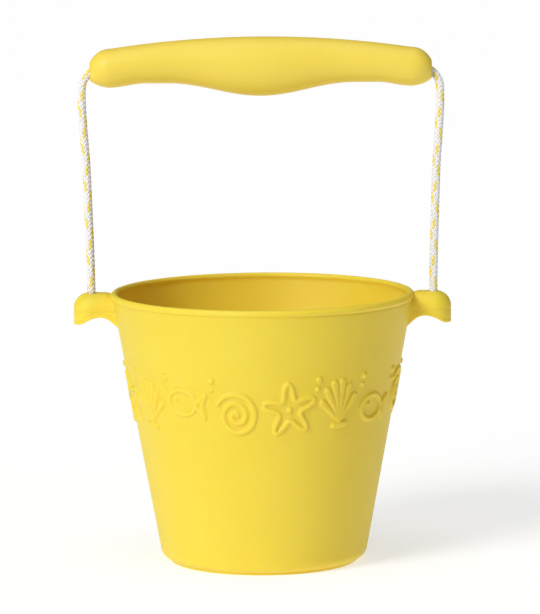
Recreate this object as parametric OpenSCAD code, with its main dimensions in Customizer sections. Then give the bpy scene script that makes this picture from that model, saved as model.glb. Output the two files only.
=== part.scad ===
// Soft sand bucket: one silicone moulding, a braided rope bail and a two-shell grip.
// Millimetres, +Z up. The origin is on the ground, at the centre of the foot ring.
// X runs from lug to lug, and the front of the bucket faces -Y.

/* [Bucket] */
// Height of the rim above the ground
bucket_h = 131; // [125:1:138]
// Outer diameter over the rim bead
rim_d = 146.6; // [144:0.2:150]
// Outward lean of the wall, in millimetres for each millimetre of height
wall_slope = 0.183; // [0.16:0.001:0.2]
// Thickness of the wall
wall_t = 2.2; // [1.8:0.1:2.6]
// Thickness of the floor
floor_t = 3; // [2.4:0.2:4]
// Diameter of the round bead along the rim
bead_d = 3.4; // [3:0.1:4]
// How far the bead stands out from the wall
bead_proud = 0.6; // [0.4:0.1:1]
// Radius of the rounded corner between wall and floor
corner_r = 5.8; // [4:0.2:8]
// Height of the foot ring
foot_h = 1.1; // [0.8:0.1:2]
// Outer radius of the foot ring
foot_r = 45.4; // [44:0.2:46]
// Width of the foot ring
foot_w = 4.4; // [3:0.2:6]

/* [Lugs] */
// Distance of each rope hole from the middle of the bucket
hole_x = 82.5; // [81.5:0.5:84]
// Width of a lug, from front to back
lug_w = 17.4; // [16:0.2:18]
// Height of the top of a lug above the ground
lug_top = 130.8; // [130:0.2:131]
// Radius of a lug's rounded top edges
lug_edge_r = 7.4; // [6:0.2:8]
// Wall thickness of a lug's hood
hood_t = 2.2; // [1.8:0.1:2.4]

/* [Rope] */
// Diameter of the braided rope
rope_d = 4.1; // [3.8:0.1:4.4]
// Diameter of each stopper knot
knot_d = 10.4; // [10:0.2:11]

/* [Grip] */
// Height of the grip's top above the ground, at its middle
grip_top = 254.1; // [252:0.1:256]
// Thickness of the grip at the palm swell
palm_h = 28.5; // [26:0.1:30]
// Height above the ground of the thin necks' underside
neck_z = 231.9; // [231:0.1:233]
// Half the length of the palm swell
palm_half = 44.7; // [42:0.1:47]
// Radius of the long arc along the grip's top
grip_arc_r = 478; // [440:1:520]
// Depth of the grip from front to back, at its ends
grip_depth = 18.6; // [18:0.1:20]
// Extra depth from front to back at the palm swell
palm_depth = 4.6; // [3:0.1:6]
// Thickness of the grip's shells
shell_t = 2.2; // [1.8:0.1:2.4]

/* [Hidden] */
$fn = 96;

silicone_yellow = [0.95, 0.82, 0.32];
plastic_yellow = [0.95, 0.84, 0.38];
rope_white = [0.95, 0.94, 0.9];
past = 1;                 // how far a cutting shape runs past what it cuts

// Wall: a straight cone, given by its outer radius at the ground and its slope.
bead_r = bead_d / 2;
bead_z = bucket_h - bead_r;
bead_x = rim_d / 2 - bead_r;
wall_foot_r = rim_d / 2 - bead_proud - wall_slope * bead_z;
wall_tilt = atan(wall_slope);
inner_corner_r = corner_r - wall_t;
inner_floor_z = foot_h + floor_t;

// Centre of a corner arc of radius r that touches a cone and the plane at height z
function arc_x(r, z, cone_r) = cone_r + wall_slope * (z + r) - r / cos(wall_tilt);

// Half of the bucket's filled section: cone, corner arc and flat bottom.
module filled_half(foot_cone_r, bottom_z, r, top_z) {
    x = arc_x(r, bottom_z, foot_cone_r);
    z = bottom_z + r;
    polygon([
        [0, bottom_z],
        [x, bottom_z],
        [x, z],
        [x + r * cos(wall_tilt), z - r * sin(wall_tilt)],
        [foot_cone_r + wall_slope * top_z, top_z],
        [0, top_z]
    ]);
    intersection() {
        translate([x, z]) circle(r = r);
        translate([0, bottom_z]) square([x + 2 * r, r]);
    }
}

module bucket_section() {
    difference() {
        filled_half(wall_foot_r, foot_h, corner_r, bead_z);
        filled_half(wall_foot_r - wall_t, inner_floor_z, inner_corner_r, bead_z + past);
    }
    translate([bead_x, bead_z]) circle(r = bead_r);
    translate([foot_r - foot_w, 0]) square([foot_w, foot_h + floor_t / 2]);
}

// A lug is a hood: a rounded-top channel along X that ends in half a turn round the
// rope hole, hollow and open below. Its lower edge arches up and sweeps into the wall.
lug_root = 60;            // where the hood starts, inside the bucket before it is trimmed
lug_low = 100;            // a level below the whole lug
arch_depth = 11.2;        // from the lug's top to the top of the arch in its lower edge
lip_depth = 15;           // from the lug's top to the lip at its outer end
arch_x = 77.9;
arch_edge = [
    [66, -20.4],
    [69.5, -16.4],
    [71.3, -14.8],
    [73, -13.3],
    [75, -12],
    [arch_x, -arch_depth],
    [81.4, -11.7],
    [84.2, -12.9],
    [87.2, -14.6],
    [89, -lip_depth],
    [95, -lip_depth]
];

// Half of a hood's section: a strip with a rounded top corner
module hood_half(half_w, r, top_z) {
    translate([0, lug_low]) square([half_w, top_z - r - lug_low]);
    translate([0, lug_low]) square([half_w - r, top_z - lug_low]);
    translate([half_w - r, top_z - r])
    intersection() {
        circle(r = r);
        square(r);
    }
}

module hood_solid(half_w, r, top_z) {
    translate([lug_root, 0, 0])
    rotate([90, 0, 90])
    linear_extrude(hole_x - lug_root) {
        hood_half(half_w, r, top_z);
        mirror([1, 0]) hood_half(half_w, r, top_z);
    }
    translate([hole_x, 0, 0])
    rotate([0, 0, -90])
    rotate_extrude(angle = 180)
    hood_half(half_w, r, top_z);
}

module lug() {
    difference() {
        hood_solid(lug_w / 2, lug_edge_r, lug_top);
        hood_solid(lug_w / 2 - hood_t, lug_edge_r - hood_t, lug_top - hood_t);
        translate([0, lug_w, lug_top])
        rotate([90, 0, 0])
        linear_extrude(2 * lug_w)
        polygon(concat([[lug_root - past, lug_low - lug_top - past]], arch_edge,
            [[100, lug_low - lug_top - past]]));
        rotate_extrude()
        filled_half(wall_foot_r - wall_t / 2, foot_h, corner_r, bucket_h + past);
    }
}

rope_hole_r = rope_d / 2 + 0.25;

module bucket_body() {
    color(silicone_yellow)
    difference() {
        union() {
            rotate_extrude() bucket_section();
            lug();
            mirror([1, 0, 0]) lug();
        }
        for (side = [-1, 1])
            translate([side * hole_x, 0, lug_top - lug_w / 2])
            cylinder(r = rope_hole_r, h = lug_w);
    }
}

// Stopper knot: a ball under the hood, flat on top where the rope comes out of it.
knot_gap = 0.15;
knot_z = lug_top - hood_t - knot_d / 2 - knot_gap;
knot_top = knot_z + 4.6;

module knot(side) {
    color(rope_white)
    difference() {
        translate([side * hole_x, 0, knot_z]) sphere(d = knot_d);
        translate([side * hole_x - knot_d, -knot_d, knot_top]) cube(2 * knot_d);
    }
}

module left_knot() {
    knot(-1);
}

module right_knot() {
    knot(1);
}

// The rope's route up one side, from the knot to the middle of the grip, as [x, z].
rope_side = [
    [82.5, knot_top], [82.6, 134], [82.8, 146], [83.1, 158], [83.5, 170], [84.3, 193],
    [85, 203], [85.6, 212], [86, 220], [86.1, 226], [86, 229.4], [85.68, 231.81],
    [84.75, 234.05], [83.28, 235.98], [81.35, 237.45], [79.11, 238.38], [76.7, 238.7],
    [60, 238.7], [20, 238.7]
];
side_count = len(rope_side);
rope_route = concat(
    [for (p = rope_side) [-p[0], p[1]]],
    [for (i = [side_count - 1 : -1 : 0]) rope_side[i]]
);
rope_sides = 10;

function unit(v) = v / norm(v);
function route_dir(i, last) =
    unit(rope_route[min(i + 1, last)] - rope_route[max(i - 1, 0)]);
// A ring of points round the route, square to it. The end rings lie flat on the knots.
function rope_ring(i, last) =
    let (
        p = rope_route[i],
        d = i == 0 ? [0, 1] : i == last ? [0, -1] : route_dir(i, last)
    )
    [for (k = [0 : rope_sides - 1])
        let (a = 360 * k / rope_sides, across = rope_d / 2 * cos(a))
        [p[0] - d[1] * across, rope_d / 2 * sin(a), p[1] + d[0] * across]
    ];

module rope() {
    last = len(rope_route) - 1;
    points = [for (i = [0 : last]) each rope_ring(i, last)];
    walls = [
        for (i = [0 : last - 1], k = [0 : rope_sides - 1])
        let (a = i * rope_sides + k, b = i * rope_sides + (k + 1) % rope_sides)
        [a, a + rope_sides, b + rope_sides, b]
    ];
    first_cap = [for (k = [0 : rope_sides - 1]) k];
    last_cap = [for (k = [rope_sides - 1 : -1 : 0]) last * rope_sides + k];
    color(rope_white) polyhedron(points, concat(walls, [first_cap, last_cap]));
}

// Grip: an oval section whose top follows a long arc and whose underside swells at the
// palm and drops a little towards the round ends. It parts into halves on the XZ plane.
dome_x = 72;              // where the round ends begin
dome_l = 11.3;            // their length, before the rope's mouth is cut off them
knob_start = 56;
knob_drop = 1.95;
mouth_r = 4.25;           // rope mouth at the outer surface
throat_r = 3.4;           // rope passage through the ribs and the mouth
spin_z = 237.9;           // level of the passage's axis

function swell(x) = abs(x) < palm_half ? (1 + cos(180 * x / palm_half)) / 2 : 0;
function knob(x) =
    let (t = min(max((abs(x) - knob_start) / (dome_x - knob_start), 0), 1))
    t * t * (3 - 2 * t);
function top_z(x) = grip_top - x * x / (2 * grip_arc_r);
palm_drop = palm_h - (grip_top - neck_z);
function bottom_z(x) = neck_z - palm_drop * swell(x) - knob_drop * knob(x);
function half_h(x) = (top_z(x) - bottom_z(x)) / 2;
function half_d(x) = (grip_depth + palm_depth * swell(x)) / 2;
function mid_z(x) = (top_z(x) + bottom_z(x)) / 2;

// A station is [x, level of the section's centre, half height, half depth].
function body_station(x, inset) = [x, mid_z(x), half_h(x) - inset, half_d(x) - inset];
// Round end: u runs from 0 at the dome's start to mouth_u at the rope's mouth. The end
// bends down so that the mouth lies on the passage's axis.
function dome_station(side, u, u_end, inset) =
    let (
        length = dome_l - inset,
        size = sqrt(1 - u * u),
        drop = (mid_z(dome_x) - spin_z) * pow(u / u_end, 3)
    )
    [side * (dome_x + length * u), mid_z(dome_x) - drop,
        (half_h(dome_x) - inset) * size, (half_d(dome_x) - inset) * size];
// The dome ends where its section has shrunk to the rope's mouth.
function mouth_u(inset, r) = sqrt(1 - pow(r / (half_d(dome_x) - inset), 2));

body_steps = 22;
dome_steps = 6;

function stations(inset, end_r) =
    let (u = mouth_u(inset, end_r), turn = asin(u))
    concat(
        [for (i = [dome_steps : -1 : 1])
            dome_station(-1, sin(turn * i / dome_steps), u, inset)],
        [for (i = [0 : body_steps])
            body_station(dome_x * (2 * i / body_steps - 1), inset)],
        [for (i = [1 : dome_steps])
            dome_station(1, sin(turn * i / dome_steps), u, inset)]
    );

arc_steps = 12;

// Half an oval from top to bottom, on the side that face points to
function half_ring(s, face) = [
    for (k = [0 : arc_steps])
    let (a = 180 * k / arc_steps)
    [s[0], face * s[3] * sin(a), s[1] + s[2] * cos(a)]
];

module shell(face) {
    outer = stations(0, mouth_r);
    inner = stations(shell_t, throat_r);
    last = len(outer) - 1;
    ring = 2 * (arc_steps + 1);
    points = [
        for (i = [0 : last])
        each concat(half_ring(outer[i], face),
            [for (k = [arc_steps : -1 : 0]) half_ring(inner[i], face)[k]])
    ];
    sides = [
        for (i = [0 : last - 1], k = [0 : ring - 1])
        let (a = i * ring + k, b = i * ring + (k + 1) % ring)
        each face > 0
            ? [[a, b, b + ring], [a, b + ring, a + ring]]
            : [[a, b + ring, b], [a, a + ring, b + ring]]
    ];
    caps = [
        for (i = [0, last], k = [0 : arc_steps - 1])
        let (
            a = i * ring + k,
            c = i * ring + ring - 1 - k,
            quad = [a, c, c - 1, a + 1],
            flip = (i == 0) == (face > 0)
        )
        each flip
            ? [[quad[0], quad[1], quad[2]], [quad[0], quad[2], quad[3]]]
            : [[quad[2], quad[1], quad[0]], [quad[3], quad[2], quad[0]]]
    ];
    polyhedron(points, concat(sides, caps));
}

// Cross ribs hold the shells' shape and keep the rope in the middle.
rib_t = 1.8;
rib_x = [-60, -36, -12, 12, 36, 60];

module rib(x, face) {
    s = body_station(x, shell_t / 2);
    difference() {
        translate([x - rib_t / 2, 0, 0])
        rotate([90, 0, 90])
        linear_extrude(rib_t)
        polygon([for (p = half_ring(s, face)) [p[1], p[2]]]);
        translate([x - rib_t, 0, spin_z])
        rotate([0, 90, 0])
        cylinder(r = throat_r, h = 2 * rib_t);
    }
}

// Bosses along the parting plane: pins on the back shell, sockets in the front shell.
boss_r = 2.6;
pin_r = 1.4;
pin_l = 2.5;
pin_play = 0.05;
boss_at = [[-48, 245], [-24, 245.6], [24, 245.6], [48, 245]];

// A boss ends in the middle of the shell's wall, at the boss's upper edge.
function boss_reach(at) =
    let (up = at[1] + boss_r - mid_z(at[0]), wall_mid = shell_t / 2)
    (half_d(at[0]) - wall_mid) * sqrt(1 - pow(up / (half_h(at[0]) - wall_mid), 2));

module boss(at, face) {
    translate([at[0], 0, at[1]])
    rotate([-90 * face, 0, 0])
    cylinder(r = boss_r, h = boss_reach(at));
}

module grip_front_shell() {
    color(plastic_yellow)
    difference() {
        union() {
            shell(-1);
            for (x = rib_x) rib(x, -1);
            for (at = boss_at) boss(at, -1);
        }
        for (at = boss_at)
            translate([at[0], past, at[1]])
            rotate([90, 0, 0])
            cylinder(r = pin_r + pin_play, h = pin_l + pin_play + past);
    }
}

module grip_back_shell() {
    color(plastic_yellow)
    union() {
        shell(1);
        for (x = rib_x) rib(x, 1);
        for (at = boss_at) {
            boss(at, 1);
            translate([at[0], past, at[1]])
            rotate([90, 0, 0])
            cylinder(r = pin_r, h = pin_l + past);
        }
    }
}

bucket_body();
rope();
left_knot();
right_knot();
grip_front_shell();
grip_back_shell();
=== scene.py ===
"""Soft sand bucket: a silicone body with hollow lugs, a braided rope bail and a two-shell grip.

Lengths in the shape code are millimetres in the row frame: +Z up, X from lug to lug, and the front
faces -Y. add_mesh turns them into metres.
"""

import math

import bpy
import numpy as np
from mathutils import Matrix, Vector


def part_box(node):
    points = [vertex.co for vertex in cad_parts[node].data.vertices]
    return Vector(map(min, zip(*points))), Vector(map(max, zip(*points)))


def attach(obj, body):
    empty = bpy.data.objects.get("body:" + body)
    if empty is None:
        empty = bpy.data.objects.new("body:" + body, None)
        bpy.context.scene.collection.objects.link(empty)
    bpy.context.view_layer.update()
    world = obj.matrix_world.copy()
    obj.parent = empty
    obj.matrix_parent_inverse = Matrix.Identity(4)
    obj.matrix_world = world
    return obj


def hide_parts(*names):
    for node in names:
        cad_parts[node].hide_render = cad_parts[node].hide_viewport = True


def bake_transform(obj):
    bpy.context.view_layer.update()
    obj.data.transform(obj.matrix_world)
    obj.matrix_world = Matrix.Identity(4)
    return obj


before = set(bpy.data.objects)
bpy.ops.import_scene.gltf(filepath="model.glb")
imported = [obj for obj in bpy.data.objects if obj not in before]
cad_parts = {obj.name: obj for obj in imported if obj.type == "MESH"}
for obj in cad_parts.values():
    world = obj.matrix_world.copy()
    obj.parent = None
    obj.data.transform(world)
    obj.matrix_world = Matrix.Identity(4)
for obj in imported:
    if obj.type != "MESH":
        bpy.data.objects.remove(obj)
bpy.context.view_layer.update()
MM = 0.001
LUG_X = 82.5  # where the rope passes down through a lug


# ---------------------------------------------------------------- camera
CAMERA_AT = (0.00365, -2.2, 0.4184)
CAMERA_DOWN = 7.643  # degrees below level
CAMERA_ROLL = -0.40  # degrees
LENS = 306.2  # on a 36 mm wide sensor


def set_camera():
    data = bpy.data.cameras.new("camera")
    data.sensor_fit = "HORIZONTAL"
    data.sensor_width = 36.0
    data.lens = LENS
    data.clip_end = 50.0
    camera = bpy.data.objects.new("camera", data)
    bpy.context.scene.collection.objects.link(camera)
    tilt = Matrix.Rotation(math.radians(90 - CAMERA_DOWN), 4, "X")
    roll = Matrix.Rotation(math.radians(CAMERA_ROLL), 4, "Z")
    camera.matrix_world = Matrix.Translation(CAMERA_AT) @ tilt @ roll
    bpy.context.scene.camera = camera


set_camera()


# ---------------------------------------------------------------- mesh helpers
def smoothstep(t):
    t = np.clip(t, 0.0, 1.0)
    return t * t * (3 - 2 * t)


def add_mesh(name, points, faces, materials, face_slots=None):
    """A smooth-shaded object from points in millimetres."""
    mesh = bpy.data.meshes.new(name)
    mesh.from_pydata((np.asarray(points, float) * MM).tolist(), [], faces)
    for material in materials:
        mesh.materials.append(material)
    if face_slots is not None:
        mesh.polygons.foreach_set("material_index", np.asarray(face_slots, np.int32))
    mesh.polygons.foreach_set("use_smooth", np.ones(len(mesh.polygons), bool))
    mesh.validate()
    mesh.update()
    piece = bpy.data.objects.new(name, mesh)
    bpy.context.scene.collection.objects.link(piece)
    return piece


def face_outward(points, faces):
    """Turns every face over if the closed mesh is inside out."""
    p = np.asarray(points, float)
    volume = 0.0
    for f in faces:
        for k in range(1, len(f) - 1):
            volume += np.dot(p[f[0]], np.cross(p[f[k]], p[f[k + 1]]))
    return faces if volume > 0 else [tuple(reversed(f)) for f in faces]


def grid_faces(rows, columns, wrap_rows=False, wrap_columns=False, first=0):
    """Quads of a grid whose point (i, j) has the number first + i * columns + j."""
    faces = []
    for i in range(rows if wrap_rows else rows - 1):
        below = first + i * columns
        above = first + (i + 1) % rows * columns
        for j in range(columns if wrap_columns else columns - 1):
            k = (j + 1) % columns
            faces.append((below + j, below + k, above + k, above + j))
    return faces


def arc(cx, cz, r, start, end, steps):
    """Points along an arc, with angles in degrees."""
    a = np.radians(np.linspace(start, end, steps + 1))
    return np.stack([cx + r * np.cos(a), cz + r * np.sin(a)], axis=1)


SPLINE_PARTS = 12  # parts of the curve between two points, before it is resampled


def spline(points, step):
    """A smooth curve through points, resampled about every step: centripetal Catmull-Rom."""
    p = np.asarray(points, float)
    p = np.vstack([2 * p[0] - p[1], p, 2 * p[-1] - p[-2]])
    out = []
    for i in range(1, len(p) - 2):
        p0, p1, p2, p3 = p[i - 1 : i + 3]
        t = [0.0]
        for a, b in ((p0, p1), (p1, p2), (p2, p3)):
            t.append(t[-1] + math.sqrt(np.linalg.norm(b - a)))
        u = np.linspace(t[1], t[2], SPLINE_PARTS + 1)[:-1, None]
        a1 = (t[1] - u) / (t[1] - t[0]) * p0 + (u - t[0]) / (t[1] - t[0]) * p1
        a2 = (t[2] - u) / (t[2] - t[1]) * p1 + (u - t[1]) / (t[2] - t[1]) * p2
        a3 = (t[3] - u) / (t[3] - t[2]) * p2 + (u - t[2]) / (t[3] - t[2]) * p3
        b1 = (t[2] - u) / (t[2] - t[0]) * a1 + (u - t[0]) / (t[2] - t[0]) * a2
        b2 = (t[3] - u) / (t[3] - t[1]) * a2 + (u - t[1]) / (t[3] - t[1]) * a3
        out.append((t[2] - u) / (t[2] - t[1]) * b1 + (u - t[1]) / (t[2] - t[1]) * b2)
    line = np.vstack([*out, p[-2][None]])
    run = np.r_[0, np.cumsum(np.linalg.norm(np.diff(line, axis=0), axis=1))]
    at = np.linspace(0, run[-1], max(2, round(run[-1] / step) + 1))
    return np.stack([np.interp(at, run, line[:, k]) for k in range(line.shape[1])], axis=1)


# ---------------------------------------------------------------- materials
def new_material(name):
    material = bpy.data.materials.new(name)
    material.use_nodes = True
    nodes = material.node_tree.nodes
    return material, nodes, material.node_tree.links, nodes["Principled BSDF"]


def noise(nodes, links, scale, detail, rough=0.5):
    node = nodes.new("ShaderNodeTexNoise")
    node.inputs["Scale"].default_value = scale
    node.inputs["Detail"].default_value = detail
    node.inputs["Roughness"].default_value = rough
    coordinates = nodes.new("ShaderNodeTexCoord").outputs["Object"]
    links.new(coordinates, node.inputs["Vector"])
    return node.outputs["Fac"]


def ramp(nodes, links, source, stops):
    node = nodes.new("ShaderNodeValToRGB")
    while len(node.color_ramp.elements) < len(stops):
        node.color_ramp.elements.new(0.5)
    for element, (at, colour) in zip(node.color_ramp.elements, stops):
        element.position = at
        element.color = (*colour, 1.0)
    links.new(source, node.inputs["Fac"])
    return node.outputs["Color"]


def spread(nodes, links, source, low, high):
    node = nodes.new("ShaderNodeMapRange")
    node.inputs["To Min"].default_value = low
    node.inputs["To Max"].default_value = high
    links.new(source, node.inputs["Value"])
    return node.outputs["Result"]


def bump(nodes, links, shader, layers):
    """Chains bump nodes, each from (height source, strength, distance in metres)."""
    normal = None
    for source, strength, distance in layers:
        node = nodes.new("ShaderNodeBump")
        node.inputs["Strength"].default_value = strength
        node.inputs["Distance"].default_value = distance
        links.new(source, node.inputs["Height"])
        if normal is not None:
            links.new(normal, node.inputs["Normal"])
        normal = node.outputs["Normal"]
    links.new(normal, shader.inputs["Normal"])


def silicone_material():
    material, nodes, links, shader = new_material("yellow_silicone")
    cloud = noise(nodes, links, 18.0, 4.0)
    colour = ramp(
        nodes, links, cloud, [(0.3, (0.865, 0.645, 0.050)), (0.7, (0.895, 0.672, 0.062))]
    )
    links.new(colour, shader.inputs["Base Color"])
    rough = spread(nodes, links, noise(nodes, links, 60.0, 5.0), 0.46, 0.56)
    links.new(rough, shader.inputs["Roughness"])
    shader.inputs["Specular IOR Level"].default_value = 0.32
    shader.inputs["Subsurface Weight"].default_value = 0.5
    shader.inputs["Subsurface Radius"].default_value = (1.0, 0.6, 0.08)
    shader.inputs["Subsurface Scale"].default_value = 0.006
    grain = noise(nodes, links, 2600.0, 2.0)
    ripple = noise(nodes, links, 140.0, 2.0)
    bump(nodes, links, shader, [(ripple, 0.12, 0.0003), (grain, 0.16, 0.00006)])
    return material


def grip_material():
    material, nodes, links, shader = new_material("yellow_grip_plastic")
    cloud = noise(nodes, links, 22.0, 4.0)
    colour = ramp(
        nodes, links, cloud, [(0.3, (0.890, 0.670, 0.075)), (0.7, (0.915, 0.695, 0.090))]
    )
    links.new(colour, shader.inputs["Base Color"])
    rough = spread(nodes, links, noise(nodes, links, 90.0, 5.0), 0.42, 0.54)
    links.new(rough, shader.inputs["Roughness"])
    shader.inputs["Specular IOR Level"].default_value = 0.4
    shader.inputs["Subsurface Weight"].default_value = 0.12
    shader.inputs["Subsurface Radius"].default_value = (1.0, 0.65, 0.15)
    shader.inputs["Subsurface Scale"].default_value = 0.003
    grain = noise(nodes, links, 3200.0, 2.0)
    bump(nodes, links, shader, [(grain, 0.22, 0.00007)])
    return material


def rope_material(name, dark, light):
    material, nodes, links, shader = new_material(name)
    fibre = noise(nodes, links, 1500.0, 4.0, 0.6)
    colour = ramp(nodes, links, fibre, [(0.35, dark), (0.65, light)])
    links.new(colour, shader.inputs["Base Color"])
    rough = spread(nodes, links, fibre, 0.6, 0.8)
    links.new(rough, shader.inputs["Roughness"])
    shader.inputs["Sheen Weight"].default_value = 0.3
    shader.inputs["Sheen Roughness"].default_value = 0.4
    hair = noise(nodes, links, 9000.0, 2.0)
    bump(nodes, links, shader, [(hair, 0.5, 0.00008)])
    return material


SILICONE = silicone_material()
GRIP = grip_material()
ROPE_WHITE = rope_material("rope_white", (0.80, 0.79, 0.79), (0.96, 0.95, 0.94))
ROPE_YELLOW = rope_material("rope_yellow", (0.90, 0.69, 0.05), (0.96, 0.80, 0.16))
# The core's grey-lilac colour is painted shade: it darkens the gaps between the strands.
ROPE_CORE_PAINTED_SHADE = rope_material("rope_core_painted_shade", (0.50, 0.48, 0.52), (0.64, 0.62, 0.66))


# ---------------------------------------------------------------- rope
ROPE_D = 4.1
KNOT_TOP = 127.85
# One side of the bail from the knot to the middle of the grip, as (x, z)
ROPE_SIDE = [
    (LUG_X, KNOT_TOP), (82.6, 134), (82.8, 146), (83.1, 158), (83.5, 170), (84.3, 193), (85, 203),
    (85.6, 212), (86, 220), (86.1, 226), (86, 229.4), (85.68, 231.81), (84.75, 234.05),
    (83.28, 235.98), (81.35, 237.45), (79.11, 238.38), (76.7, 238.7), (60, 238.7), (20, 238.7),
]
CARRIERS = 8  # strands wound each way
BRAID_PITCH = 18.0  # length along the rope of one full turn of a strand
CROSSING = BRAID_PITCH / (2 * CARRIERS)
# Sizes of one flattened strand and of the core, as parts of the rope's radius
STRAND_W = 0.30
STRAND_T = 0.19
STRAND_LIFT = 0.10
CORE_R = 0.62
STRAND_SIDES = 6
CORE_SIDES = 8
WEAVE_STEEP = 1.4  # above 1, strands cross quickly and then lie flat
CORE_STEP = 6  # points of the path for each ring of the core
HIDDEN_STEP = 12  # points of the path for each ring of a hidden strand
HIDDEN_X = 74  # the grip hides the rope nearer to the middle than this
TRACERS = {1: (0, 1), -1: (3, 4)}  # the yellow strands of each way


def frames_along(path):
    """A steady pair of normals along a path."""
    tangent = np.gradient(path, axis=0)
    tangent /= np.linalg.norm(tangent, axis=1)[:, None]
    side = np.zeros_like(path)
    start = np.cross(tangent[0], [1.0, 0.0, 0.0])
    if np.linalg.norm(start) < 0.1:
        start = np.cross(tangent[0], [0.0, 1.0, 0.0])
    side[0] = start / np.linalg.norm(start)
    for i in range(1, len(path)):
        v = side[i - 1] - tangent[i] * np.dot(side[i - 1], tangent[i])
        side[i] = v / np.linalg.norm(v)
    return side, np.cross(tangent, side)


def tube(line, across, out, half_w, half_t, sides, first):
    """Points and faces of a closed tube with an oval section along a line."""
    around = 2 * np.pi * np.arange(sides) / sides
    ring = (
        line[:, None]
        + across[:, None] * (half_w * np.cos(around))[None, :, None]
        + out[:, None] * (half_t * np.sin(around))[None, :, None]
    )
    last = first + (len(line) - 1) * sides
    faces = grid_faces(len(line), sides, wrap_columns=True, first=first)
    faces.append(tuple(range(first, first + sides))[::-1])
    faces.append(tuple(range(last, last + sides)))
    return ring.reshape(-1, 3), faces


def braid(path, radius, hidden):
    """A rope whose strands pass over two and under two. Hidden stretches get coarse strands."""
    side, other = frames_along(path)
    run = np.r_[0, np.cumsum(np.linalg.norm(np.diff(path, axis=0), axis=1))]
    keep = ~hidden | (np.arange(len(path)) % HIDDEN_STEP == 0)
    keep[[0, -1]] = True
    lift = STRAND_LIFT * radius
    middle = radius * (1 - STRAND_LIFT - STRAND_T)
    core_r = CORE_R * radius
    rings = slice(None, None, CORE_STEP)
    core, faces = tube(path[rings], side[rings], other[rings], core_r, core_r, CORE_SIDES, 0)
    # Slot 2 gives the core its darker grey-lilac colour, painted shade for the gaps between the
    # strands.
    points, slots, count = [core], [2] * len(faces), len(core)
    for way in (1, -1):
        for k in range(CARRIERS):
            turn = 2 * np.pi * (k / CARRIERS + way * run / BRAID_PITCH)
            # One crossing is a quarter of the weave: over two strands, then under two.
            phase = way * run / CROSSING + 2 * k - 0.5
            weave = way * np.clip(WEAVE_STEEP * np.cos(np.pi / 2 * phase), -1, 1)
            weave = np.where(hidden, 0.0, weave)
            out = side * np.cos(turn)[:, None] + other * np.sin(turn)[:, None]
            line = path + out * (middle + lift * weave)[:, None]
            across = np.cross(np.gradient(line, axis=0), out)
            across /= np.linalg.norm(across, axis=1)[:, None]
            ring, quads = tube(
                line[keep], across[keep], out[keep],
                STRAND_W * radius, STRAND_T * radius, STRAND_SIDES, count,
            )
            points.append(ring)
            faces += quads
            slots += [1 if k in TRACERS[way] else 0] * len(quads)
            count += len(ring)
    return np.vstack(points), faces, slots


def add_rope(name, path, radius, hidden=None):
    hidden = np.zeros(len(path), bool) if hidden is None else hidden
    points, faces, slots = braid(path, radius, hidden)
    return add_mesh(name, points, faces, [ROPE_WHITE, ROPE_YELLOW, ROPE_CORE_PAINTED_SHADE], slots)


rope_points = [(-x, 0, z) for x, z in ROPE_SIDE] + [(x, 0, z) for x, z in reversed(ROPE_SIDE)]
rope_path = spline(rope_points, CROSSING / 4)
rope_hidden = np.abs(rope_path[:, 0]) < HIDDEN_X
rope = add_rope("braided_rope", rope_path, ROPE_D / 2, rope_hidden)
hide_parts("rope")
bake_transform(rope)


# Stopper knot: the cord runs down through the middle and two turns of it wrap back up.
KNOT_Z = KNOT_TOP - 4.6  # level of the knot's middle
KNOT_ROPE = 1.9  # radius of the cord where it is pulled tight
WRAP_R = 3.3
WRAP_LOW = 3.2  # from the knot's middle down to the first wrap
WRAP_RISE = 6.3  # from the first wrap up to the last
WRAP_START = 0.08  # in turns, as are the next two
WRAP_STEP = 0.1
WRAPS = 2.0


def knot_path():
    down = [(0, 0, KNOT_TOP), (0, 0, KNOT_Z + 2), (0.1, 0, KNOT_Z - 1.4), (1.4, 0.4, KNOT_Z - 3.1)]
    wraps = []
    for turn in np.arange(WRAP_START, WRAPS, WRAP_STEP):
        a = 2 * np.pi * turn
        z = KNOT_Z - WRAP_LOW + WRAP_RISE * turn / WRAPS
        wraps.append((WRAP_R * np.cos(a), WRAP_R * np.sin(a), z))
    return np.array(down + wraps)


def add_knot(name, node, side):
    path = spline(knot_path(), CROSSING / 4)
    path[:, 0] *= side
    path[:, 0] += side * LUG_X
    knot = add_rope(name, path, KNOT_ROPE)
    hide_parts(node)
    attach(knot, "bucket")
    return knot


left_knot = add_knot("left_stopper_knot", "left_knot", -1)
right_knot = add_knot("right_stopper_knot", "right_knot", 1)


# ---------------------------------------------------------------- grip shells
GRIP_TOP = 254.1
GRIP_ARC_R = 478.0
NECK_Z = 231.9
PALM_H = 28.5
PALM_HALF = 44.7
GRIP_DEPTH = 18.6
PALM_DEPTH = 4.6
SHELL_T = 2.2
DOME_X = 72.0
DOME_L = 11.3
KNOB_START = 56.0
KNOB_DROP = 1.95
MOUTH_R = 4.25
THROAT_R = 3.4
SPIN_Z = 237.9
PALM_DROP = PALM_H - (GRIP_TOP - NECK_Z)
BODY_STEPS = 110
DOME_STEPS = 20
HALF_STEPS = 40  # steps round half a section
PARTING_EDGE = [0.0, 0.35, 0.8, 1.4, 2.2]  # degrees from the parting line, for its fine steps
PARTING_DEPTH = 0.22
PARTING_W = 0.42
PARTING_R = 12.0  # about the section's radius, which turns angles into lengths
LIP_PROUD = 0.45  # how far the rounded lip of a mouth stands out
THINNEST = 0.04  # half depth that keeps the two halves apart


def palm_swell(x):
    x = np.abs(x)
    return np.where(x < PALM_HALF, (1 + np.cos(np.pi * x / PALM_HALF)) / 2, 0.0)


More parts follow.
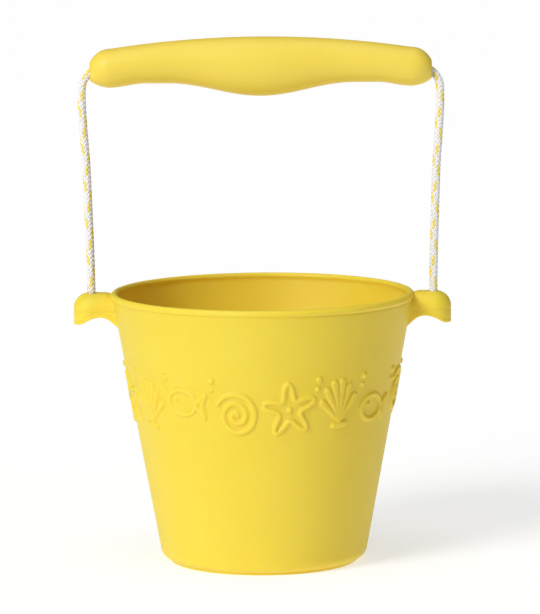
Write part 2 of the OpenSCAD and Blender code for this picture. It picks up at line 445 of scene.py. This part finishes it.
def grip_section(x):
    """Middle level, half height and half depth of the grip's body at x."""
    knob = smoothstep((np.abs(x) - KNOB_START) / (DOME_X - KNOB_START))
    top = GRIP_TOP - x * x / (2 * GRIP_ARC_R)
    bottom = NECK_Z - PALM_DROP * palm_swell(x) - KNOB_DROP * knob
    return (top + bottom) / 2, (top - bottom) / 2, (GRIP_DEPTH + PALM_DEPTH * palm_swell(x)) / 2


def grip_stations(inset, end_r):
    """Rows of x, level, half height and half depth from the left end to the right end."""
    level, high, deep = (float(v) for v in grip_section(np.array(DOME_X)))
    u_end = math.sqrt(1 - (end_r / (deep - inset)) ** 2)
    u = np.sin(np.linspace(0, math.asin(u_end), DOME_STEPS + 1))[1:]
    size = np.sqrt(1 - u * u)
    dome = np.stack(
        [
            DOME_X + (DOME_L - inset) * u,
            level - (level - SPIN_Z) * (u / u_end) ** 3,
            (high - inset) * size,
            (deep - inset) * size,
        ],
        axis=1,
    )
    x = np.linspace(-DOME_X, DOME_X, BODY_STEPS + 1)
    body = np.stack([x, *grip_section(x)], axis=1)
    body[:, 2:] -= inset
    left = dome[::-1] * [-1, 1, 1, 1]
    return np.vstack([left, body, dome])


def add_shell(name, node, face):
    """One half of the grip. face is -1 for the front half and 1 for the back half."""
    outer = grip_stations(0.0, MOUTH_R)
    inner = grip_stations(SHELL_T, THROAT_R)
    half = np.radians(np.linspace(0, 180, HALF_STEPS + 1))
    fine = np.radians(PARTING_EDGE)
    v = np.unique(np.r_[fine, half[1:-1], np.pi - fine])
    # The parting line is a fine rounded groove.
    edge = np.minimum(v, np.pi - v) * PARTING_R
    groove = PARTING_DEPTH * (1 - smoothstep(edge / PARTING_W))
    lip = []
    for s_out, s_in, way in ((outer[-1], inner[-1], 1), (outer[0], inner[0], -1)):
        steps = []
        for t in (0.25, 0.5, 0.75):
            mixed = s_out + (s_in - s_out) * t
            mixed[0] += way * LIP_PROUD * math.sin(math.pi * t)
            steps.append(mixed)
        lip.append(steps)
    loop = np.vstack([outer, lip[0], inner[::-1], lip[1][::-1]])
    is_outer = np.arange(len(loop)) < len(outer)
    points = np.zeros((len(loop), len(v), 3))
    for i, (x, level, high, deep) in enumerate(loop):
        cut = groove if is_outer[i] else 0.0
        points[i, :, 0] = x
        points[i, :, 1] = face * np.maximum((deep - cut) * np.sin(v), THINNEST)
        points[i, :, 2] = level + (high - cut) * np.cos(v)
    rows, columns = len(loop), len(v)
    faces = grid_faces(rows, columns, wrap_rows=True)
    n = len(outer)
    inner_at = [n + 3 + (n - 1 - i) for i in range(n)]
    # The two long edges of the half are closed with strips that lie on the parting plane.
    for j in (0, columns - 1):
        strip = []
        for i in range(n - 1):
            strip.append(tuple(
                r * columns + j for r in (i, i + 1, inner_at[i + 1], inner_at[i])
            ))
        strip.append(tuple(r * columns + j for r in (n - 1, n, n + 1, n + 2, n + 3)))
        last = len(loop)
        strip.append(tuple(
            r * columns + j for r in (n + 3 + n - 1, last - 3, last - 2, last - 1, 0)
        ))
        faces += [tuple(reversed(f)) for f in strip] if j == 0 else strip
    flat = points.reshape(-1, 3)
    shell = add_mesh(name, flat, face_outward(flat, faces), [GRIP])
    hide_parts(node)
    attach(shell, "grip")
    return shell


add_shell("grip_front_half", "grip_front_shell", -1)
add_shell("grip_back_half", "grip_back_shell", 1)


# ---------------------------------------------------------------- bucket wall
body_high = np.array(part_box("bucket_body")[1]) / MM
RIM_Z = body_high[2]
RIM_R = body_high[1]
SLOPE = 0.183
TILT = math.atan(SLOPE)
WALL_T = 2.2
FLOOR_T = 3.0
BEAD_R = 1.7
BEAD_PROUD = 0.6
BEAD_GROOVE = [(2.2, 0.03), (1.9, 0.2), (1.6, 0.22)]  # depths below the bead's middle, and cuts
BEAD_ARC = (-52, 205)  # degrees, from under the bead outside to the wall inside
CORNER_R = 5.8
FOOT_H = 1.1
FOOT_R = 45.4
FOOT_W = 4.4
FOOT_ROUND = 0.4
FOOT_STEP = 0.12  # how far outside the foot the rounded corner starts
BEAD_X = RIM_R - BEAD_R
BEAD_Z = RIM_Z - BEAD_R
WALL_FOOT_R = RIM_R - BEAD_PROUD - SLOPE * BEAD_Z
BAND_LOW = 58.0
BAND_HIGH = 106.0
GRID = 0.48


def corner_x(r, z, cone_r):
    return cone_r + SLOPE * (z + r) - r / math.cos(TILT)


def wall_profile():
    """The section from under the floor, up the outside, over the rim and down the inside."""
    tilt = math.degrees(TILT)
    out_x = corner_x(CORNER_R, FOOT_H, WALL_FOOT_R)
    in_r = CORNER_R - WALL_T
    in_z = FOOT_H + FLOOR_T
    in_x = corner_x(in_r, in_z, WALL_FOOT_R - WALL_T)
    foot_in = FOOT_R - FOOT_W
    under = [(r, FOOT_H) for r in (8, 20, 32, foot_in - 2 * FOOT_ROUND)]
    foot = np.vstack([
        arc(foot_in - FOOT_ROUND, FOOT_H - FOOT_ROUND, FOOT_ROUND, 90, 0, 3),
        arc(foot_in + FOOT_ROUND, FOOT_ROUND, FOOT_ROUND, 180, 270, 3),
        arc(FOOT_R - FOOT_ROUND, FOOT_ROUND, FOOT_ROUND, 270, 360, 3),
    ])
    first = math.degrees(math.acos((FOOT_R + FOOT_STEP - out_x) / CORNER_R))
    corner = arc(out_x, FOOT_H + CORNER_R, CORNER_R, -first, -tilt, 10)
    z_start = corner[-1][1]
    levels = np.r_[
        np.linspace(z_start, BAND_LOW, 18)[1:],
        np.linspace(BAND_LOW, BAND_HIGH, round((BAND_HIGH - BAND_LOW) / GRID) + 1)[1:],
        np.linspace(BAND_HIGH, BEAD_Z - 2.6, 9)[1:],
    ]
    wall = [(WALL_FOOT_R + SLOPE * z, z) for z in levels]
    # A fine groove sharpens the line under the bead.
    groove = [(WALL_FOOT_R + SLOPE * (BEAD_Z - d) - cut, BEAD_Z - d) for d, cut in BEAD_GROOVE]
    bead = arc(BEAD_X, BEAD_Z, BEAD_R, *BEAD_ARC, 24)
    in_levels = np.r_[
        BEAD_Z - 1.6, BEAD_Z - 2.4, np.linspace(BEAD_Z - 5, in_z + in_r - in_r * math.sin(TILT), 26)
    ]
    inside = [(WALL_FOOT_R - WALL_T + SLOPE * z, z) for z in in_levels]
    in_corner = arc(in_x, in_z + in_r, in_r, -tilt, -90, 8)[1:]
    floor = [(r, in_z) for r in (in_x - 6, 30, 18, 8)]
    parts = [under, foot, corner, wall, groove, bead, inside, in_corner, floor]
    return np.vstack([np.array(p) for p in parts])


# ---------------------------------------------------------------- raised relief
RELIEF_H = 1.0
RELIEF_SOFT = 0.8  # width of the strokes' rounded shoulders
STROKE = 0.95  # half the width of a drawn line
MOTIF_Z = 82.5
MOTIF_SWAY = 2.6  # how far motifs sit above or below that
MOTIF_LEAN = 9  # degrees, at most
BUBBLES = [(92, 0.8), (96.5, 1.2)]  # levels and radii
RELIEF_R = WALL_FOOT_R + SLOPE * 82  # the wall's radius in the middle of the band
AROUND = 2 * np.pi * RELIEF_R  # length once round the band
MOTIFS = 16


def ring(cx, cy, rx, ry, start=0, end=360, steps=30):
    a = np.radians(np.linspace(start, end, steps))
    return np.stack([cx + rx * np.cos(a), cy + ry * np.sin(a)], axis=1)


def starfish():
    """An outline with five round arms."""
    a = np.linspace(0, 2 * np.pi, 81)
    r = 8.2 + 3.6 * np.cos(5 * a) + 0.9 * np.cos(10 * a)
    outline = np.stack([r * np.sin(a), r * np.cos(a)], axis=1)
    return [(outline, (STROKE, STROKE)), (ring(0, 0, 0.3, 0.3), (STROKE, STROKE))]


def scallop():
    """A fan of ribs on a short hinge."""
    fan = np.radians(np.linspace(-56, 56, 6))
    ribs = [np.array([(0, -9), (10.8 * math.sin(a), -9 + 19.5 * math.cos(a))]) for a in fan]
    hinge = np.array([(-3.2, -10.6), (3.2, -10.6)])
    return [(rib, (0.6, 1.6)) for rib in ribs] + [(hinge, (1.3, 1.3))]


def fish():
    """An oval body, a forked tail and an eye."""
    tail = [(4.6, 0), (9.6, 5.6), (8.2, 0), (9.6, -5.6), (4.6, 0)]
    tail = spline([(*point, 0) for point in tail], 0.5)[:, :2]
    body, eye = ring(-2.9, 0, 7.6, 6.0), ring(-6.2, 1.2, 0.15, 0.15)
    return [(line, (STROKE, STROKE)) for line in (body, tail, eye)]


def snail():
    """A spiral that starts as a dot."""
    t = np.linspace(0.4, 2.4 * 2 * np.pi, 70)
    r = 0.68 * t + 0.2
    return [(np.stack([r * np.cos(t), 1.08 * r * np.sin(t)], axis=1), (STROKE, 1.2))]


def relief_strokes():
    """Strokes round the band: points along it and up it, and the half width at each point."""
    strokes = []
    designs = [starfish, scallop, fish, snail]
    for k in range(MOTIFS):
        cx = AROUND * (k + 0.5) / MOTIFS
        cz = MOTIF_Z + MOTIF_SWAY * math.sin(2.4 * k)
        lean = math.radians(MOTIF_LEAN * math.sin(1.7 * k + 0.6))
        spin = np.array([[math.cos(lean), math.sin(lean)], [-math.sin(lean), math.cos(lean)]])
        for line, ends in designs[k % len(designs)]():
            strokes.append((line @ spin + [cx, cz], np.linspace(*ends, len(line))))
        # Two bubbles rise between each motif and the next.
        for up, size in BUBBLES:
            bubble = ring(cx + AROUND / MOTIFS / 2 + size, up, 0.15, 0.15)
            strokes.append((bubble, np.full(len(bubble), size)))
    return strokes


def relief_height(along, up):
    """Height of the relief at points along and up the band."""
    height = np.zeros(len(along))
    for line, width in relief_strokes():
        reach = width.max() + RELIEF_SOFT
        low, high = line.min(axis=0) - reach, line.max(axis=0) + reach
        near = (along > low[0]) & (along < high[0]) & (up > low[1]) & (up < high[1])
        pick = np.flatnonzero(near)
        p = np.stack([along[pick], up[pick]], axis=1)
        inside = np.full(len(pick), -np.inf)
        for a, b, wa, wb in zip(line[:-1], line[1:], width[:-1], width[1:]):
            span = b - a
            close = np.abs(p[:, 0] - (a[0] + b[0]) / 2) < reach + abs(span[0])
            q = p[close]
            t = np.clip(((q - a) @ span) / max(span @ span, 1e-9), 0, 1)
            d = np.linalg.norm(q - a - t[:, None] * span, axis=1)
            inside[close] = np.maximum(inside[close], wa + (wb - wa) * t - d)
        rise = smoothstep(inside / RELIEF_SOFT + 0.5)
        height[pick] = np.maximum(height[pick], rise)
    return RELIEF_H * height


def bucket_mesh():
    profile = wall_profile()
    columns = round(AROUND / GRID)
    angle = 2 * np.pi * np.arange(columns) / columns
    r = np.repeat(profile[:, 0][:, None], columns, axis=1)
    z = np.repeat(profile[:, 1][:, None], columns, axis=1)
    on_wall = np.abs(profile[:, 0] - (WALL_FOOT_R + SLOPE * profile[:, 1])) < 1e-6
    band = on_wall & (profile[:, 1] > BAND_LOW) & (profile[:, 1] < BAND_HIGH)
    rows = np.flatnonzero(band)
    along = np.tile(angle * RELIEF_R, len(rows))
    up = np.repeat(profile[rows, 1], columns)
    height = relief_height(along, up).reshape(len(rows), columns)
    r[rows] += height * math.cos(TILT)
    z[rows] -= height * math.sin(TILT)
    x, y = r * np.sin(angle), -r * np.cos(angle)
    points = np.stack([x, y, z], axis=2).reshape(-1, 3)
    faces = grid_faces(len(profile), columns, wrap_columns=True)
    count = len(points)
    points = np.vstack([points, [0, 0, FOOT_H], [0, 0, FOOT_H + FLOOR_T]])
    top = (len(profile) - 1) * columns
    for j in range(columns):
        k = (j + 1) % columns
        faces.append((count, k, j))
        faces.append((count + 1, top + j, top + k))
    return points, face_outward(points, faces)


# ---------------------------------------------------------------- lugs
LUG_TOP = 130.8
LUG_HALF_W = 8.7
LUG_EDGE_R = 7.4
HOOD_T = 2.2
HOLE_R = 2.3
# Lower edge of a hood as (distance from the middle, depth below the lug's top)
LUG_EDGE = [
    (62, 27), (66, 20.4), (69.5, 16.4), (71.3, 14.8), (73, 13.3), (75, 12), (77.9, 11.2),
    (81.4, 11.7), (84.2, 12.9), (86.6, 14.3), (88.6, 15), (91, 15.1), (96, 15.1),
]
CELL = 0.4
FILLET = 2.4  # how far the lug flows into the wall
FILLET_TOP = 127.0  # it flows in fully from 4 mm below this level, and not at all above it
SKIRT_TOP = 127.6
LUG_GROOVE_DEPTH = 0.26
LUG_GROOVE_W = 0.55
LUG_GROOVE_UP = 8.7  # from the lug's top down to its upper groove
LUG_GROOVE_LOW = 1.9  # from the lower edge up to its lower groove
DIP = 0.55  # how far the lug's top dips where it meets the bead
HOLLOW_ROUND = 0.8  # roundings where surfaces of the lug meet
WALL_ROUND = 0.7
EDGE_ROUND = 0.5
HOLE_ROUND = 0.9
ROOT = 0.55  # how deep in the wall the lug starts, as a part of the wall's thickness
LUG_BOX = np.array([(62.0, -16.0, 98.0), (93.5, 16.0, 133.5)])
SUNK = 0.08  # how deep its skirt lies in the wall where it runs out


def smooth_min(a, b, k):
    h = np.maximum(k - np.abs(a - b), 0) / k
    return np.minimum(a, b) - h * h * k / 4


def smooth_max(a, b, k):
    return -smooth_min(-a, -b, k)


def hood_distance(q, z, inset):
    """Signed distance to a strip with a rounded top, q across and z up."""
    r = LUG_EDGE_R - inset
    dx = q - (LUG_HALF_W - inset - r)
    dz = z - (LUG_TOP - inset - r)
    return np.hypot(np.maximum(dx, 0), np.maximum(dz, 0)) + np.minimum(np.maximum(dx, dz), 0) - r


EDGE_LINE = spline(LUG_EDGE, 0.5)


def lug_distance(p):
    """Signed distance to the right lug, with a skirt that flows into the wall below the bead."""
    x, y, z = p[..., 0], p[..., 1], p[..., 2]
    q = np.where(x < LUG_X, np.abs(y), np.hypot(x - LUG_X, y))
    out = np.hypot(x, y)
    wall = (out - (WALL_FOOT_R + SLOPE * z)) * math.cos(TILT) + SUNK
    low = LUG_TOP - np.interp(x, EDGE_LINE[:, 0], EDGE_LINE[:, 1])
    # Fine grooves run round the hood below its rounded top and along its lower edge.
    away = np.minimum(np.abs(LUG_TOP - LUG_GROOVE_UP - z), np.abs(low + LUG_GROOVE_LOW - z))
    grooves = LUG_GROOVE_DEPTH * (1 - smoothstep(away / LUG_GROOVE_W))
    dip = DIP * smoothstep((BEAD_X + 4.5 - out) / 3.0) * smoothstep((z - 126) / 3.0)
    outer = hood_distance(q, z, 0.0) + grooves + dip
    k = 0.05 + FILLET * smoothstep((FILLET_TOP - z) / 4.0)
    shape = smooth_min(outer, np.maximum(wall, z - SKIRT_TOP), k)
    hollow = smooth_max(hood_distance(q, z, HOOD_T), -wall, HOLLOW_ROUND)
    shape = smooth_max(shape, -hollow, WALL_ROUND)
    shape = smooth_max(shape, (low - z) * 0.8, EDGE_ROUND)
    shape = smooth_max(shape, HOLE_R - np.hypot(x - LUG_X, y), HOLE_ROUND)
    core = WALL_FOOT_R + SLOPE * z - WALL_T * ROOT - out
    return np.maximum(np.maximum(shape, core), outer - FILLET - 0.4)


def surface_nets(field, origin, cell):
    """A closed quad mesh of the zero surface of a sampled field."""
    inside = field < 0
    size = np.array(field.shape) - 1
    total = np.zeros(size, int)
    corners = [(i, j, k) for i in (0, 1) for j in (0, 1) for k in (0, 1)]

    def at(array, c):
        return array[c[0] : c[0] + size[0], c[1] : c[1] + size[1], c[2] : c[2] + size[2]]

    for c in corners:
        total += at(inside, c)
    active = (total > 0) & (total < 8)
    number = np.full(size, -1)
    number[active] = np.arange(active.sum())
    place = np.zeros((*size, 3))
    hits = np.zeros(size)
    for c in corners:
        for axis in range(3):
            if c[axis]:
                continue
            d = list(c)
            d[axis] = 1
            a, b = at(field, c), at(field, d)
            cross = (a < 0) != (b < 0)
            t = np.where(cross, a / np.where(cross, a - b, 1.0), 0.0)
            for k in range(3):
                place[..., k] += np.where(cross, c[k] + (t if k == axis else 0.0), 0.0)
            hits += cross
    cells = np.argwhere(active)
    points = (cells + place[active] / hits[active][:, None]) * cell + origin
    faces = []
    for axis in range(3):
        u, v = (axis + 1) % 3, (axis + 2) % 3
        lo = [slice(1, -1)] * 3
        lo[axis] = slice(0, -1)
        hi = [slice(1, -1)] * 3
        hi[axis] = slice(1, None)
        first, second = inside[tuple(lo)], inside[tuple(hi)]
        where = np.argwhere(first != second) + 1
        where[:, axis] -= 1
        grows = first[first != second]
        du = np.eye(3, dtype=int)[u]
        dv = np.eye(3, dtype=int)[v]
        quad = [number[tuple((where - a).T)] for a in (du + dv, dv, 0 * du, du)]
        quad = np.stack(quad, axis=1)
        quad[~grows] = quad[~grows][:, ::-1]
        faces += [tuple(f) for f in quad.tolist()]
    return points, faces


def settle(points, distance, rounds=4):
    """Moves points onto the true surface of a distance function."""
    p = points.copy()
    e = 0.02
    for _ in range(rounds):
        f = distance(p)
        g = np.stack([
            (distance(p + e * axis) - distance(p - e * axis)) / (2 * e) for axis in np.eye(3)
        ], axis=1)
        p -= np.clip(f, -0.3, 0.3)[:, None] * g / np.maximum((g * g).sum(axis=1), 0.3)[:, None]
    return p


def lug_mesh():
    low, high = LUG_BOX
    counts = np.ceil((high - low) / CELL).astype(int) + 1
    axes = [low[k] + CELL * np.arange(counts[k]) for k in range(3)]
    grid = np.stack(np.meshgrid(*axes, indexing="ij"), axis=-1)
    points, faces = surface_nets(lug_distance(grid), low, CELL)
    points = settle(points, lug_distance)
    return points, face_outward(points, faces)


def join_lugs(body):
    points, faces = lug_mesh()
    for side in (1, -1):
        turned = points * [side, side, 1]
        lug = add_mesh("lug_part", turned, faces, [SILICONE])
        joint = body.modifiers.new("join", "BOOLEAN")
        joint.operation = "UNION"
        joint.solver = "EXACT"
        joint.object = lug
        bpy.context.view_layer.objects.active = body
        bpy.ops.object.modifier_apply(modifier=joint.name)
        bpy.data.objects.remove(lug)


wall_points, wall_faces = bucket_mesh()
bucket = add_mesh("silicone_bucket", wall_points, wall_faces, [SILICONE])
join_lugs(bucket)
bucket.data.polygons.foreach_set("use_smooth", np.ones(len(bucket.data.polygons), bool))
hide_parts("bucket_body")
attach(bucket, "bucket")


# ---------------------------------------------------------------- floor and light
FLOOR_GREY = 0.50
FLOOR_GLOW = 0.61  # keeps the floor nearly white where the lamps alone would leave it grey
BACKDROP_LIGHT = 0.12  # strength that lights the object
BACKDROP_SEEN = 0.98  # strength that the camera sees


def add_floor():
    material, _, _, shader = new_material("pale_floor")
    shader.inputs["Base Color"].default_value = (FLOOR_GREY, FLOOR_GREY, FLOOR_GREY, 1.0)
    shader.inputs["Roughness"].default_value = 0.9
    shader.inputs["Emission Color"].default_value = (1.0, 1.0, 1.0, 1.0)
    shader.inputs["Emission Strength"].default_value = FLOOR_GLOW
    half = 6000.0
    corners = [(-half, -half, 0), (half, -half, 0), (half, half, 0), (-half, half, 0)]
    floor = add_mesh("floor", corners, [(0, 1, 2, 3)], [material])


def add_sun(name, side, height, light, softness):
    """A soft distant lamp. side and height are degrees left of the camera and above level."""
    data = bpy.data.lights.new(name, "SUN")
    data.energy = light * math.pi
    data.angle = math.radians(softness)
    lamp = bpy.data.objects.new(name, data)
    bpy.context.scene.collection.objects.link(lamp)
    turn = Matrix.Rotation(math.radians(-side), 4, "Z")
    lamp.matrix_world = turn @ Matrix.Rotation(math.radians(90 - height), 4, "X")


def set_light():
    world = bpy.data.worlds.new("studio")
    world.use_nodes = True
    nodes, links = world.node_tree.nodes, world.node_tree.links
    background = nodes["Background"]
    background.inputs["Color"].default_value = (1.0, 1.0, 1.0, 1.0)
    # The backdrop looks as pale as the floor but sheds little light.
    seen = nodes.new("ShaderNodeLightPath").outputs["Is Camera Ray"]
    strength = spread(nodes, links, seen, BACKDROP_LIGHT, BACKDROP_SEEN)
    links.new(strength, background.inputs["Strength"])
    bpy.context.scene.world = world
    add_sun("key", 40, 33, 0.68, 24)
    add_sun("overhead", 10, 82, 0.28, 40)
    bpy.context.scene.view_settings.view_transform = "Standard"


add_floor()
set_light()
